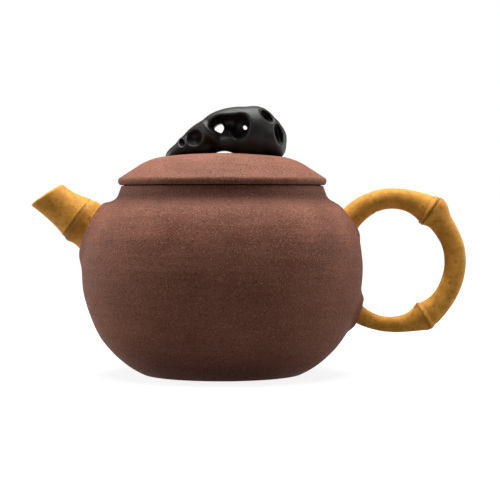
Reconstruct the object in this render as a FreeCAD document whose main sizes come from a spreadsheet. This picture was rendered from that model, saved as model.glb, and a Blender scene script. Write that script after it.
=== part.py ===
"""Round clay teapot with a bamboo spout and handle and a pierced rock for a knob.

The pot is built as a potter builds it: a belly wall closed by a base disc and a cover disc,
a neck ring luted on top, bamboo internodes luted on as spout and handle with a collar of clay
round each root, and a lid of dome, rim band and flange under the rock.

Frame: millimetres, +Z up, origin on the table at the pot's axis. The spout points to -X, the
handle stands to +X, and the pot's round axis is Z.
"""
import FreeCAD
import Part
import Sketcher
import math
import os

# Driving sizes, in millimetres and degrees. Each becomes a named cell of the Sizes sheet.
SIZES = {
    # belly: three arcs that run on smoothly from the foot to the shoulder
    "foot_radius": 26.5,
    "belly_radius": 46.8,
    "belly_height": 34.5,
    "hip_bow": 32.4,
    "side_bow": 44.0,
    "shoulder_bow": 24.0,
    "shoulder_radius": 38.3,
    "shoulder_height": 56.4,
    "cover_radius": 35.0,
    "wall": 3.2,
    "floor_radius": 25.8,
    "ceiling_radius": 37.0,
    # neck, and the seat that the lid rests on
    "neck_radius": 34.0,
    "neck_taper": 0.2,
    "neck_sweep": 4.7,
    "neck_sweep_top": 60.6,
    "mouth_radius": 30.6,
    "mouth_height": 62.4,
    "mouth_edge": 0.5,
    # lid
    "band_radius": 34.9,
    "band_thickness": 2.6,
    "band_roll": 1.4,
    "dome_radius": 33.5,
    "dome_slope_radius": 28.6,
    "dome_shoulder_bow": 20.0,
    "crown_bow": 200.0,
    "lid_top": 73.2,
    "lid_wall": 3.2,
    "lid_inside_radius": 29.3,
    "flange_clearance": 0.3,
    "flange_wall": 3.1,
    "flange_depth": 7.5,
    "flange_chamfer": 0.8,
    "air_hole_radius": 1.3,
    "air_hole_x": 1.0,
    # spout: its axis passes the joint between its two internodes, and rises outwards
    "spout_joint_x": -48.55,
    "spout_joint_z": 51.9,
    "spout_rise": 37.0,
    "spout_joint_radius": 7.3,
    "spout_root_ring": 8.25,
    "spout_root_ring_at": 1.5,
    "spout_root_waist": 7.6,
    "spout_root_waist_at": 4.4,
    "spout_root_length": 14.0,
    "spout_root_sweep": 8.0,
    "spout_tip_ring": 7.6,
    "spout_tip_ring_at": 0.9,
    "spout_tip_radius": 6.05,
    "spout_tip_waist_at": 8.6,
    "spout_tip_length": 12.6,
    "spout_tip_sweep": 24.0,
    "mouth_tilt": 19.0,
    "mouth_cut_reach": 24.0,
    "bore_radius": 3.8,
    "spout_recess_depth": 6.95,
    "strainer_depth": 16.0,
    "strainer_ring_radius": 2.5,
    "strainer_hole_radius": 0.8,
    # handle: three arcs that share their tangents at the two nodes
    "grip_centre_x": 56.6,
    "grip_centre_z": 37.1,
    "grip_bow": 21.0,
    "top_bow": 19.8,
    "lower_bow": 20.7,
    "top_root": 146.0,
    "upper_node": 53.3,
    "lower_node": -60.4,
    "lower_root": -132.0,
    "groove_roll": 0.8,
    # width of each internode: a waist that flares to both ends, the sooner the lower the power
    "top_waist": 6.4,
    "top_start_flare": 2.3,
    "top_start_power": 2.2,
    "top_end_flare": 4.4,
    "top_end_power": 5.0,
    "grip_waist": 7.3,
    "grip_start_flare": 3.5,
    "grip_start_power": 8.0,
    "grip_end_flare": 1.6,
    "grip_end_power": 10.0,
    "lower_waist": 5.0,
    "lower_start_flare": 3.9,
    "lower_start_power": 4.0,
    "lower_end_flare": 2.2,
    "lower_end_power": 4.0,
    # collars of clay round the three roots: how far along the root, ring radius, roll radius;
    # the spout's is tilted against the spout to follow the wall
    "spout_collar_at": -7.35,
    "spout_collar_tilt": 11.0,
    "spout_collar_ring": 8.1,
    "spout_collar_roll": 1.95,
    "handle_top_collar_at": 143.0,
    "handle_top_collar_ring": 5.2,
    "handle_top_collar_roll": 2.7,
    "handle_lower_collar_at": -126.5,
    "handle_lower_collar_ring": 4.9,
    "handle_lower_collar_roll": 2.5,
}

# The rock: centre x, y, z, half sizes in x, y, z, and tilt about Y (positive lifts the left end).
ROCK_LUMPS = {
    "head": (10.4, 0.0, 79.5, 8.6, 9.4, 9.5, 0),
    "heel": (14.8, 0.0, 77.8, 6.7, 8.6, 6.7, 0),
    "bridge": (3.4, 0.0, 83.9, 10.6, 7.8, 4.6, -9),
    "ridge": (-7.9, 0.4, 78.0, 8.8, 6.8, 4.5, -42),
    "toe": (-13.2, 0.0, 74.4, 6.2, 5.4, 2.7, -30),
    "knuckle": (-12.5, -0.4, 76.3, 2.7, 5.0, 2.5, -20),
    "back_wall": (1.0, 4.2, 78.5, 9.5, 4.6, 7.5, 0),
    "left_pillar": (-3.8, -1.6, 79.4, 2.0, 6.2, 5.6, -35),
    "sill": (1.5, -0.2, 76.4, 8.0, 5.4, 3.4, 0),
    "brow": (16.5, 0.0, 81.9, 3.0, 6.5, 3.0, 0),
    "left_foot": (-6.6, 0.6, 74.6, 4.2, 5.6, 2.6, 0),
}
ROCK_HOLLOWS = {
    "cavern_left": (-0.8, -8.4, 82.6, 4.0, 6.4, 3.2, -8),
    "cavern_middle": (2.4, -8.4, 83.0, 4.0, 5.6, 2.8, 0),
    "cavern_right": (5.6, -8.6, 81.7, 3.5, 6.4, 4.6, 12),
    "left_hollow": (-9.0, -7.4, 78.8, 2.7, 4.6, 2.7, -24),
    "toe_hollow": (-13.7, -5.2, 77.2, 1.0, 3.0, 1.8, -22),
    "top_hollow": (14.9, -5.8, 85.7, 2.7, 2.9, 1.1, 44),
    "side_hollow": (18.3, -7.0, 79.6, 1.2, 3.4, 3.6, -12),
    "back_hollow": (9.5, 10.0, 81.5, 4.6, 4.2, 3.6, 0),
    "back_left_hollow": (-6.5, 8.0, 79.5, 3.0, 3.4, 2.6, -30),
}
ROCK_FIELDS = ("x", "y", "z", "half_x", "half_y", "half_z", "tilt")

# Holes right through the rock from front to back: centre x, z and radius.
ROCK_WINDOWS = {
    "left_window": (-1.1, 81.3, 1.6),
    "right_window": (7.6, 81.7, 0.9),
    "arch": (0.7, 69.6, 4.5),
}
WINDOW_FIELDS = ("x", "z", "radius")

# Sections that each handle internode is lofted through.
HANDLE_SECTIONS = 11

# Holes in the ring round the strainer's middle hole.
STRAINER_RING_HOLES = 6


def fill_sheet(doc):
    """The sheet of driving sizes: one plain number to a cell, each cell with its alias."""
    sheet = doc.addObject("Spreadsheet::Sheet", "Sizes")
    cells = dict(SIZES)
    for name, numbers in {**ROCK_LUMPS, **ROCK_HOLLOWS}.items():
        for field, number in zip(ROCK_FIELDS, numbers):
            cells[f"{name}_{field}"] = number
    for name, numbers in ROCK_WINDOWS.items():
        for field, number in zip(WINDOW_FIELDS, numbers):
            cells[f"{name}_{field}"] = number
    for row, (alias, number) in enumerate(cells.items(), start=1):
        sheet.set(f"A{row}", alias)
        sheet.set(f"B{row}", str(number))
        sheet.setAlias(f"B{row}", alias)
    doc.recompute()
    return sheet


def value(doc, expression):
    """The number that an expression on the sheet's cells gives now."""
    return float(doc.Sizes.evalExpression(expression))


def bind(item, **expressions):
    """Binds properties of an object to expressions; two underscores stand for a dot."""
    for name, expression in expressions.items():
        item.setExpression(name.replace("__", "."), expression)
    return item


def new_body(doc, name):
    body = doc.addObject("PartDesign::Body", name)
    body.Label = name
    return body


def new_sketch(body, name, role="XZ_Plane"):
    sketch = body.newObject("Sketcher::SketchObject", name)
    plane = next(feature for feature in body.Origin.OriginFeatures if feature.Role == role)
    sketch.AttachmentSupport = [(plane, "")]
    sketch.MapMode = "FlatFace"
    return sketch


def arc_between(start, end, radius, turn):
    """The arc from start to end that turns left (turn 1) or right (turn -1), under a half circle."""
    chord = end - start
    rise = math.sqrt(max(radius ** 2 - (chord.Length / 2) ** 2, 0.0))
    across = FreeCAD.Vector(-chord.y, chord.x, 0).normalize() * (rise * turn)
    centre = (start + end) * 0.5 + across
    first, last = (start, end) if turn > 0 else (end, start)
    angles = [math.atan2(point.y - centre.y, point.x - centre.x) for point in (first, last)]
    return Part.ArcOfCircle(Part.Circle(centre, FreeCAD.Vector(0, 0, 1), radius), *angles)


def draw_outline(doc, sketch, corners, curves=None, smooth=(), centres=None):
    """Draws a closed outline and binds it to the sheet.

    corners: pairs of coordinates. Text is an expression that drives the coordinate, and a plain
    number is only a first guess, which the other constraints then settle.
    curves: edge number to (radius expression, turn), for the edges that are arcs.
    smooth: corners where the two edges share their tangent.
    centres: edge number to (x expression, y expression) of its arc's centre, either may be None.
    """
    curves = curves or {}
    settled = [[value(doc, c) if isinstance(c, str) else c for c in corner] for corner in corners]
    points = [FreeCAD.Vector(x, y, 0) for x, y in settled]
    count = len(points)
    starts, ends = [], []
    for edge in range(count):
        begin, finish = points[edge], points[(edge + 1) % count]
        if edge in curves:
            radius, turn = curves[edge]
            sketch.addGeometry(arc_between(begin, finish, value(doc, radius), turn))
            starts.append((edge, 1 if turn > 0 else 2))
            ends.append((edge, 2 if turn > 0 else 1))
        else:
            sketch.addGeometry(Part.LineSegment(begin, finish))
            starts.append((edge, 1))
            ends.append((edge, 2))
    for corner in range(count):
        kind = "Tangent" if corner in smooth else "Coincident"
        sketch.addConstraint(Sketcher.Constraint(kind, *ends[corner - 1], *starts[corner]))
    for (x, y), where in zip(corners, starts):
        pin_point(doc, sketch, where, x, y)
    for edge, (radius, _) in curves.items():
        number = sketch.addConstraint(Sketcher.Constraint("Radius", edge, value(doc, radius)))
        sketch.setExpression(f"Constraints[{number}]", radius)
    for edge, (x, y) in (centres or {}).items():
        pin_point(doc, sketch, (edge, 3), x, y)


def pin_point(doc, sketch, where, x, y):
    """Holds a sketch point at the coordinates that are expressions; zero puts it on the axis."""
    for coordinate, direction, axis in ((x, "DistanceX", -2), (y, "DistanceY", -1)):
        if not isinstance(coordinate, str):
            continue
        if coordinate == "0":
            sketch.addConstraint(Sketcher.Constraint("PointOnObject", *where, axis))
            continue
        number = sketch.addConstraint(
            Sketcher.Constraint(direction, -1, 1, *where, value(doc, coordinate)))
        sketch.setExpression(f"Constraints[{number}]", coordinate)


def turn_solid(body, sketch, name="Turning"):
    """Revolves a sketch a full turn about its upright axis."""
    turning = body.newObject("PartDesign::Revolution", name)
    turning.Profile = sketch
    turning.ReferenceAxis = (sketch, ["V_Axis"])
    turning.Angle = 360
    return turning


def turned_body(doc, name, corners, **details):
    """A body made by one turning of a closed outline."""
    body = new_body(doc, name)
    sketch = new_sketch(body, name + "_outline")
    draw_outline(doc, sketch, corners, **details)
    turn_solid(body, sketch, name + "_turning")
    return body


def boolean(doc, kind, name, base, tool):
    item = doc.addObject(kind, name)
    item.Label = name
    item.Base = base
    item.Tool = tool
    return item


def cut(doc, name, base, tool):
    return boolean(doc, "Part::Cut", name, base, tool)


def common(doc, name, base, tool):
    return boolean(doc, "Part::Common", name, base, tool)


def cylinder(doc, name, radius, height, base_z="0"):
    item = doc.addObject("Part::Cylinder", name)
    return bind(item, Radius=radius, Height=height, Placement__Base__z=base_z)


def aim(item, x, z, angle):
    """Puts an object at x, z in the pot's middle plane, with its own Z turned about Y by angle."""
    item.Placement = FreeCAD.Placement(FreeCAD.Vector(), FreeCAD.Rotation(FreeCAD.Vector(0, 1, 0), 1))
    return bind(item, Placement__Base__x=x, Placement__Base__z=z, Placement__Rotation__Angle=angle)


# Pot body


def pot_form(doc):
    """The pot's outside as one filled form, from the foot to the flat that the neck stands on."""
    return turned_body(
        doc, "pot_form",
        [("0", "0"), ("Sizes.foot_radius", "0"), (42.7, 16.0), (46.1, 42.6),
         ("Sizes.shoulder_radius", "Sizes.shoulder_height"), ("0", "Sizes.shoulder_height")],
        curves={1: ("Sizes.hip_bow", 1), 2: ("Sizes.side_bow", 1), 3: ("Sizes.shoulder_bow", 1)},
        smooth=(2, 3),
        centres={2: ("Sizes.belly_radius - Sizes.side_bow", "Sizes.belly_height")})


def pot_hollow(doc):
    """The space inside as one filled form, a wall's thickness in from the outside."""
    floor, ceiling = "Sizes.wall", "Sizes.shoulder_height - Sizes.wall"
    return turned_body(
        doc, "pot_hollow",
        [("0", floor), ("Sizes.floor_radius", floor), (39.7, 17.4), (42.9, 42.0),
         ("Sizes.ceiling_radius", ceiling), ("0", ceiling)],
        curves={1: ("Sizes.hip_bow - Sizes.wall", 1), 2: ("Sizes.side_bow - Sizes.wall", 1),
                3: ("Sizes.shoulder_bow - Sizes.wall", 1)},
        smooth=(2, 3),
        centres={2: ("Sizes.belly_radius - Sizes.side_bow", "Sizes.belly_height")})


def pot_pieces(doc, form, hollow):
    """Belly wall, base disc and cover disc: the shell of the pot, parted at its luted seams."""
    closed_shell = cut(doc, "closed_shell", form, hollow)
    base_plug = cylinder(doc, "base_plug", "Sizes.foot_radius", "Sizes.belly_height", "-Sizes.wall")
    cover_plug = cylinder(doc, "cover_plug", "Sizes.cover_radius", "Sizes.belly_height", "Sizes.belly_height")
    base_disc = common(doc, "base_disc", closed_shell, base_plug)

    cover_blank = common(doc, "cover_blank", closed_shell, cover_plug)
    mouth = cylinder(doc, "mouth_opening", "Sizes.mouth_radius", "Sizes.belly_height", "Sizes.belly_height")
    cover_disc = cut(doc, "cover_disc", cover_blank, mouth)

    without_base = cut(doc, "shell_less_base", closed_shell, base_plug)
    without_cover = cut(doc, "shell_less_cover", without_base, cover_plug)
    recess = cylinder(doc, "spout_recess", "Sizes.bore_radius", "Sizes.spout_recess_depth")
    aim(recess, "Sizes.spout_joint_x", "Sizes.spout_joint_z", "Sizes.spout_rise + 90")
    recessed = cut(doc, "recessed_wall", without_cover, recess)
    belly_wall = cut(doc, "belly_wall", recessed, strainer_pins(doc))
    return [belly_wall, base_disc, cover_disc]


def strainer_pins(doc):
    """Pins that pierce the wall behind the spout: one on the spout's axis and a ring round it."""
    axis, rise = ("Sizes.spout_joint_x", "Sizes.spout_joint_z"), "Sizes.spout_rise"
    pins = []
    for number in range(STRAINER_RING_HOLES + 1):
        pin = cylinder(doc, f"strainer_pin_{number}", "Sizes.strainer_hole_radius", "Sizes.strainer_depth")
        turn = 360 * number / STRAINER_RING_HOLES
        out = "Sizes.strainer_ring_radius" if number else "0"
        aim(pin, f"{axis[0]} + {out} * cos({turn}) * sin({rise})",
            f"{axis[1]} + {out} * cos({turn}) * cos({rise})", f"{rise} + 90")
        pins.append(bind(pin, Placement__Base__y=f"{out} * sin({turn})"))
    group = doc.addObject("Part::Compound", "strainer_pins")
    group.Links = pins
    return group


def neck_ring(doc):
    """The upright ring of the mouth, sweeping out at its foot onto the shoulder."""
    return turned_body(
        doc, "neck_ring",
        [("Sizes.mouth_radius", "Sizes.shoulder_height"),
         ("Sizes.shoulder_radius", "Sizes.shoulder_height"),
         ("Sizes.neck_radius + Sizes.neck_taper", "Sizes.neck_sweep_top"),
         ("Sizes.neck_radius", "Sizes.mouth_height - Sizes.mouth_edge"),
         ("Sizes.neck_radius - Sizes.mouth_edge", "Sizes.mouth_height"),
         ("Sizes.mouth_radius", "Sizes.mouth_height")],
        curves={1: ("Sizes.neck_sweep", -1), 3: ("Sizes.mouth_edge", 1)})


# Spout


def spout_tip(doc):
    """Outer internode: flares to the node ring, tapers to the mouth, cut off on a slant."""
    spare = "Sizes.spout_tip_length + Sizes.bore_radius"
    body = turned_body(
        doc, "spout_tip_internode",
        [("Sizes.bore_radius", "0"), ("Sizes.spout_joint_radius", "0"),
         ("Sizes.spout_tip_ring", "Sizes.spout_tip_ring_at"),
         ("Sizes.spout_tip_radius", "Sizes.spout_tip_waist_at"),
         ("Sizes.spout_tip_radius", spare), ("Sizes.bore_radius", spare)],
        curves={2: ("Sizes.spout_tip_sweep", -1)})
    slant = new_sketch(body, "mouth_slant")
    reach, fall = "Sizes.mouth_cut_reach", "Sizes.mouth_cut_reach * tan(Sizes.mouth_tilt)"
    draw_outline(doc, slant, [
        (f"-{reach}", f"Sizes.spout_tip_length + {fall}"),
        (reach, f"Sizes.spout_tip_length - {fall}"),
        (reach, f"Sizes.spout_tip_length + {reach}"),
        (f"-{reach}", f"Sizes.spout_tip_length + {reach}")])
    pocket = body.newObject("PartDesign::Pocket", "mouth_cut")
    pocket.Profile = slant
    pocket.Type = "ThroughAll"
    pocket.Midplane = True
    return aim(body, "Sizes.spout_joint_x", "Sizes.spout_joint_z", "Sizes.spout_rise - 90")


def spout_root(doc, form):
    """Inner internode, fitted to the belly, and its solid blank for fitting the collar round it."""
    outside = [("Sizes.spout_joint_radius", "0"),
               ("Sizes.spout_root_ring", "-Sizes.spout_root_ring_at"),
               ("Sizes.spout_root_waist", "-Sizes.spout_root_waist_at"),
               ("Sizes.spout_root_waist", "-Sizes.spout_root_length")]
    sweep = {2: ("Sizes.spout_root_sweep", 1)}
    blank = turned_body(
        doc, "spout_root_blank", [("0", "0"), *outside, ("0", "-Sizes.spout_root_length")], curves=sweep)
    bored = turned_body(
        doc, "spout_root_bored",
        [("Sizes.bore_radius", "0"), *outside, ("Sizes.bore_radius", "-Sizes.spout_root_length")],
        curves=sweep)
    for body in (blank, bored):
        aim(body, "Sizes.spout_joint_x", "Sizes.spout_joint_z", "Sizes.spout_rise - 90")
    return cut(doc, "spout_root_internode", bored, form), blank


# Handle


def arc_centre(part):
    """Expressions for the centre of an internode's arc, so that the arcs share tangents at the nodes."""
    if part == "grip":
        return "Sizes.grip_centre_x", "Sizes.grip_centre_z"
    node = "Sizes.upper_node" if part == "top" else "Sizes.lower_node"
    shift = f"(Sizes.grip_bow - Sizes.{part}_bow)"
    return f"Sizes.grip_centre_x + {shift} * cos({node})", f"Sizes.grip_centre_z + {shift} * sin({node})"


def arc_point(part, angle):
    """Expressions for the point of an internode's arc at an angle."""
    x, z = arc_centre(part)
    return f"{x} + Sizes.{part}_bow * cos({angle})", f"{z} + Sizes.{part}_bow * sin({angle})"


def handle_internode(doc, part, name, start, end):
    """One bamboo internode: a loft through round sections set square to its arc, from start to end."""
    body = new_body(doc, name)
    sections = []
    for number in range(HANDLE_SECTIONS):
        along = number / (HANDLE_SECTIONS - 1)
        angle = f"({start} + ({end} - {start}) * {along})"
        width = (f"Sizes.{part}_waist"
                 f" + Sizes.{part}_start_flare * {1 - along} ^ Sizes.{part}_start_power"
                 f" + Sizes.{part}_end_flare * {along} ^ Sizes.{part}_end_power")
        sections.append(handle_section(doc, body, arc_point(part, angle), angle, width, number))
    loft = body.newObject("PartDesign::AdditiveLoft", f"{name}_loft")
    loft.Profile = sections[0]
    loft.Sections = sections[1:]
    return body


def handle_section(doc, body, place, angle, width, number):
    """A round section at a place in the pot's middle plane, square to the arc there."""
    section = new_sketch(body, f"{body.Name}_section_{number}", "XY_Plane")
    about_y = FreeCAD.Rotation(FreeCAD.Vector(0, 1, 0), 1)
    section.AttachmentOffset = FreeCAD.Placement(FreeCAD.Vector(), about_y)
    bind(section, AttachmentOffset__Base__x=place[0], AttachmentOffset__Base__z=place[1],
         AttachmentOffset__Rotation__Angle=f"-{angle}")
    across = value(doc, width)
    section.addGeometry(Part.Circle(FreeCAD.Vector(), FreeCAD.Vector(0, 0, 1), across / 2))
    section.addConstraint(Sketcher.Constraint("Coincident", 0, 3, -1, 1))
    dimension = section.addConstraint(Sketcher.Constraint("Diameter", 0, across))
    section.setExpression(f"Constraints[{dimension}]", width)
    return section


def node_groove(doc, name, part, end, angle):
    """Ring that cuts the groove round a node, where two internodes meet."""
    ring = doc.addObject("Part::Torus", name)
    bind(ring, Radius1=f"(Sizes.{part}_waist + Sizes.{part}_{end}_flare + Sizes.groove_roll) / 2",
         Radius2="Sizes.groove_roll")
    return aim(ring, *arc_point("grip", angle), f"-{angle}")


def handle_pieces(doc, form):
    """Top, grip and lower internode; the outer two are fitted to the belly at their roots."""
    upper_node, lower_node = "Sizes.upper_node", "Sizes.lower_node"
    top_blank = handle_internode(doc, "top", "handle_top_blank", "Sizes.top_root", upper_node)
    grip_blank = handle_internode(doc, "grip", "handle_grip_blank", upper_node, lower_node)
    lower_blank = handle_internode(doc, "lower", "handle_lower_blank", lower_node, "Sizes.lower_root")
    upper_groove = node_groove(doc, "upper_groove", "grip", "start", upper_node)
    lower_groove = node_groove(doc, "lower_groove", "grip", "end", lower_node)
    top = cut(doc, "handle_top_internode", cut(doc, "top_grooved", top_blank, upper_groove), form)
    grip = cut(doc, "handle_grip_internode", cut(doc, "grip_grooved", grip_blank, upper_groove), lower_groove)
    lower = cut(doc, "handle_lower_internode", cut(doc, "lower_grooved", lower_blank, lower_groove), form)
    return [top, grip, lower], top_blank, lower_blank


# Collars


def collar(doc, name, place, angle, root, *neighbours):
    """Roll of body clay round a root: a ring sunk in its neighbours, cleared for the root itself."""
    roll = doc.addObject("Part::Torus", f"{name}_roll")
    bind(roll, Radius1=f"Sizes.{name}_ring", Radius2=f"Sizes.{name}_roll")
    aim(roll, *place, angle)
    for number, neighbour in enumerate(neighbours):
        roll = cut(doc, f"{name}_sunk_{number}", roll, neighbour)
    return cut(doc, name, roll, root)


def collars(doc, form, neck, spout_blank, top_blank, lower_blank):
    along = "Sizes.spout_collar_at"
    spout_place = (f"Sizes.spout_joint_x - {along} * cos(Sizes.spout_rise)",
                   f"Sizes.spout_joint_z + {along} * sin(Sizes.spout_rise)")
    spout_turn = "Sizes.spout_rise - Sizes.spout_collar_tilt - 90"
    top_at, lower_at = "Sizes.handle_top_collar_at", "Sizes.handle_lower_collar_at"
    return [
        collar(doc, "spout_collar", spout_place, spout_turn, spout_blank, form, neck),
        collar(doc, "handle_top_collar", arc_point("top", top_at), f"-{top_at}", top_blank, form),
        collar(doc, "handle_lower_collar", arc_point("lower", lower_at), f"-{lower_at}", lower_blank, form)]


# Lid


def dome_outside():
    """Corners of the lid's outside, from the crown down to the rim band."""
    return [("0", "Sizes.lid_top"), (17.5, 72.4), ("Sizes.dome_slope_radius", 68.3),
            ("Sizes.dome_radius", "Sizes.mouth_height + Sizes.band_thickness")]


def lid_pieces(doc):
    """Dome with its air hole, rim band and flange, and the filled dome that the rock is fitted to."""
    seat, band_top = "Sizes.mouth_height", "Sizes.mouth_height + Sizes.band_thickness"
    filled = turned_body(
        doc, "lid_form", [*reversed(dome_outside()), ("0", band_top)],
        curves={1: ("Sizes.dome_shoulder_bow", 1), 2: ("Sizes.crown_bow", 1)},
        smooth=(1, 2), centres={2: ("0", None)})

    rise = f"(Sizes.lid_top - Sizes.lid_wall - {seat} - Sizes.band_thickness)"
    inside = turned_body(
        doc, "lid_inside",
        [("0", band_top), ("Sizes.lid_inside_radius", band_top), ("0", "Sizes.lid_top - Sizes.lid_wall")],
        curves={1: (f"(Sizes.lid_inside_radius ^ 2 + {rise} ^ 2) / (2 * {rise})", 1)})
    hollowed = cut(doc, "dome_blank", filled, inside)
    air_hole = cylinder(doc, "air_hole", "Sizes.air_hole_radius", "Sizes.lid_top", seat)
    bind(air_hole, Placement__Base__x="Sizes.air_hole_x")
    dome = cut(doc, "lid_dome", hollowed, air_hole)

    flange_radius = "(Sizes.mouth_radius - Sizes.flange_clearance)"
    flange_bore = f"({flange_radius} - Sizes.flange_wall)"
    round_edge = ("Sizes.band_radius - Sizes.band_roll"
                  " + sqrt(Sizes.band_roll ^ 2 - (Sizes.band_thickness / 2) ^ 2)")
    band = turned_body(
        doc, "lid_rim_band",
        [(flange_bore, seat), (round_edge, seat), (round_edge, band_top), (flange_bore, band_top)],
        curves={1: ("Sizes.band_roll", 1)})
    flange_foot = f"{seat} - Sizes.flange_depth"
    flange = turned_body(
        doc, "lid_flange",
        [(flange_bore, flange_foot), (f"{flange_radius} - Sizes.flange_chamfer", flange_foot),
         (flange_radius, f"{flange_foot} + Sizes.flange_chamfer"), (flange_radius, seat),
         (flange_bore, seat)])
    return [dome, band, flange], filled


# Rock


def rock_lump(doc, name):
    """One egg-shaped lump or hollow of the rock, with its three half sizes and its tilt."""
    egg = doc.addObject("Part::Ellipsoid", name)
    egg.Angle1, egg.Angle2, egg.Angle3 = -90, 90, 360
    bind(egg, Radius1=f"Sizes.{name}_half_z", Radius2=f"Sizes.{name}_half_x", Radius3=f"Sizes.{name}_half_y",
         Placement__Base__y=f"Sizes.{name}_y")
    return aim(egg, f"Sizes.{name}_x", f"Sizes.{name}_z", f"Sizes.{name}_tilt")


def rock_window(doc, name):
    """One round hole that runs from front to back through the whole rock."""
    drill = doc.addObject("Part::Cylinder", name)
    drill.Placement.Rotation = FreeCAD.Rotation(FreeCAD.Vector(1, 0, 0), -90)
    return bind(drill, Radius=f"Sizes.{name}_radius", Height="4 * Sizes.head_half_y",
                Placement__Base__x=f"Sizes.{name}_x", Placement__Base__y="-2 * Sizes.head_half_y",
                Placement__Base__z=f"Sizes.{name}_z")


def rock_knob(doc, lid_form):
    """Rock of fused lumps, hollowed and pierced, with its underside fitted to the lid."""
    lumps = [rock_lump(doc, name) for name in ROCK_LUMPS]
    rock = lumps[0]
    for lump in lumps[1:]:
        rock = boolean(doc, "Part::Fuse", f"rock_with_{lump.Name}", rock, lump)
    for name in ROCK_HOLLOWS:
        rock = cut(doc, f"rock_less_{name}", rock, rock_lump(doc, name))
    for name in ROCK_WINDOWS:
        rock = cut(doc, f"rock_less_{name}", rock, rock_window(doc, name))
    return cut(doc, "rock_knob", rock, lid_form)


def check_document(doc):
    """Stops the build on any object that failed to compute."""
    for item in doc.Objects:
        if "Invalid" in item.State or "Error" in item.State:
            raise RuntimeError(f"{item.Label} failed: {item.State}")


def export(parts):
    """Writes each sub-part to its own file, once its shape is known to be one sound solid."""
    os.makedirs("parts", exist_ok=True)
    for part in parts:
        shape = part.Shape
        if shape.isNull() or not shape.isValid() or len(shape.Solids) != 1:
            raise RuntimeError(f"{part.Label} is not one valid solid")
        shape.exportStep(f"parts/{part.Label}.step")
        print(f"{part.Label}: {shape.Volume:.0f} mm3")


def main():
    doc = FreeCAD.newDocument("clay_teapot")
    fill_sheet(doc)
    form = pot_form(doc)
    hollow = pot_hollow(doc)
    parts = pot_pieces(doc, form, hollow)
    neck = neck_ring(doc)
    parts.append(neck)
    root, root_blank = spout_root(doc, form)
    parts += [spout_tip(doc), root]
    handle, top_blank, lower_blank = handle_pieces(doc, form)
    parts += handle
    parts += collars(doc, form, neck, root_blank, top_blank, lower_blank)
    lid, lid_form = lid_pieces(doc)
    parts += lid
    parts.append(rock_knob(doc, lid_form))
    doc.recompute()
    check_document(doc)
    export(parts)


main()
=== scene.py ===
import math
import bpy
from mathutils import Matrix, Vector, noise


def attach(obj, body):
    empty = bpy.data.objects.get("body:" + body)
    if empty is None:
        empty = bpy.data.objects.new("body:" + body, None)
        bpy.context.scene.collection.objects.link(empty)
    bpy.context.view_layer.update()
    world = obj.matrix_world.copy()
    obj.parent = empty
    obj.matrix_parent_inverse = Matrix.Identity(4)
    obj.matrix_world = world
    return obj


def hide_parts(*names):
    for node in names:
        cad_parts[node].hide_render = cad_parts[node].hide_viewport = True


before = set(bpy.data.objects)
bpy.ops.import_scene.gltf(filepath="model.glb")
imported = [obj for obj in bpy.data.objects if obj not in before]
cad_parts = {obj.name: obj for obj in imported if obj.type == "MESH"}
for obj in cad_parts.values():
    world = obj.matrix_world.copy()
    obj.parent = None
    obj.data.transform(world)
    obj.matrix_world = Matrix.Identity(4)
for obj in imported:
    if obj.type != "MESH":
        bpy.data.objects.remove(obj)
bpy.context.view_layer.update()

mm = 0.001


def clearSelection():
    if bpy.context.object and bpy.context.object.mode != "OBJECT":
        bpy.ops.object.mode_set(mode="OBJECT")
    bpy.ops.object.select_all(action="DESELECT")


def pick(piece):
    clearSelection()
    piece.select_set(True)
    bpy.context.view_layer.objects.active = piece


def nameIt(piece, name):
    piece.name = name
    piece.data.name = name
    return piece


# 0 below nought, 1 above one, and a smooth step between
def ease(value):
    value = min(max(value, 0), 1)
    return value * value * (3 - 2 * value)


# 1 at no distance, falling off smoothly within about twice the width
def bell(distance, width):
    return math.exp(-(distance / width) ** 2)


# an arc from start to end in the turning plane, without its first point; a minus bow hollows it
def bowPoints(start, end, bow, count):
    dr, dz = end[0] - start[0], end[1] - start[1]
    chord = math.hypot(dr, dz)
    rise = math.copysign(math.sqrt(bow * bow - chord * chord / 4), bow)
    centreR = (start[0] + end[0]) / 2 - dz / chord * rise
    centreZ = (start[1] + end[1]) / 2 + dr / chord * rise
    first = math.atan2(start[1] - centreZ, start[0] - centreR)
    swing = math.atan2(end[1] - centreZ, end[0] - centreR) - first
    swing = (swing + math.pi) % math.tau - math.pi
    points = []
    for i in range(1, count + 1):
        a = first + swing * i / count
        points.append((centreR + abs(bow) * math.cos(a), centreZ + abs(bow) * math.sin(a)))
    return points


# a straight run cut into even steps, without its first point
def runPoints(start, end, count):
    return [(start[0] + (end[0] - start[0]) * i / count,
             start[1] + (end[1] - start[1]) * i / count) for i in range(1, count + 1)]


# a smooth line through a few points, with its first and last
def throughPoints(keys, count):
    points = []
    for i in range(len(keys) - 1):
        p = [Vector(keys[max(min(i + k, len(keys) - 1), 0)]) for k in (-1, 0, 1, 2)]
        for j in range(count):
            t = j / count
            a = 2 * p[1] + (p[2] - p[0]) * t + (2 * p[0] - 5 * p[1] + 4 * p[2] - p[3]) * t * t
            a += (3 * p[1] - p[0] - 3 * p[2] + p[3]) * t * t * t
            points.append(tuple(a / 2))
    return points + [tuple(keys[-1])]


def facesOutward(piece):
    pick(piece)
    bpy.ops.object.mode_set(mode="EDIT")
    bpy.ops.mesh.select_all(action="SELECT")
    bpy.ops.mesh.normals_make_consistent(inside=False)
    bpy.ops.object.mode_set(mode="OBJECT")


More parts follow.
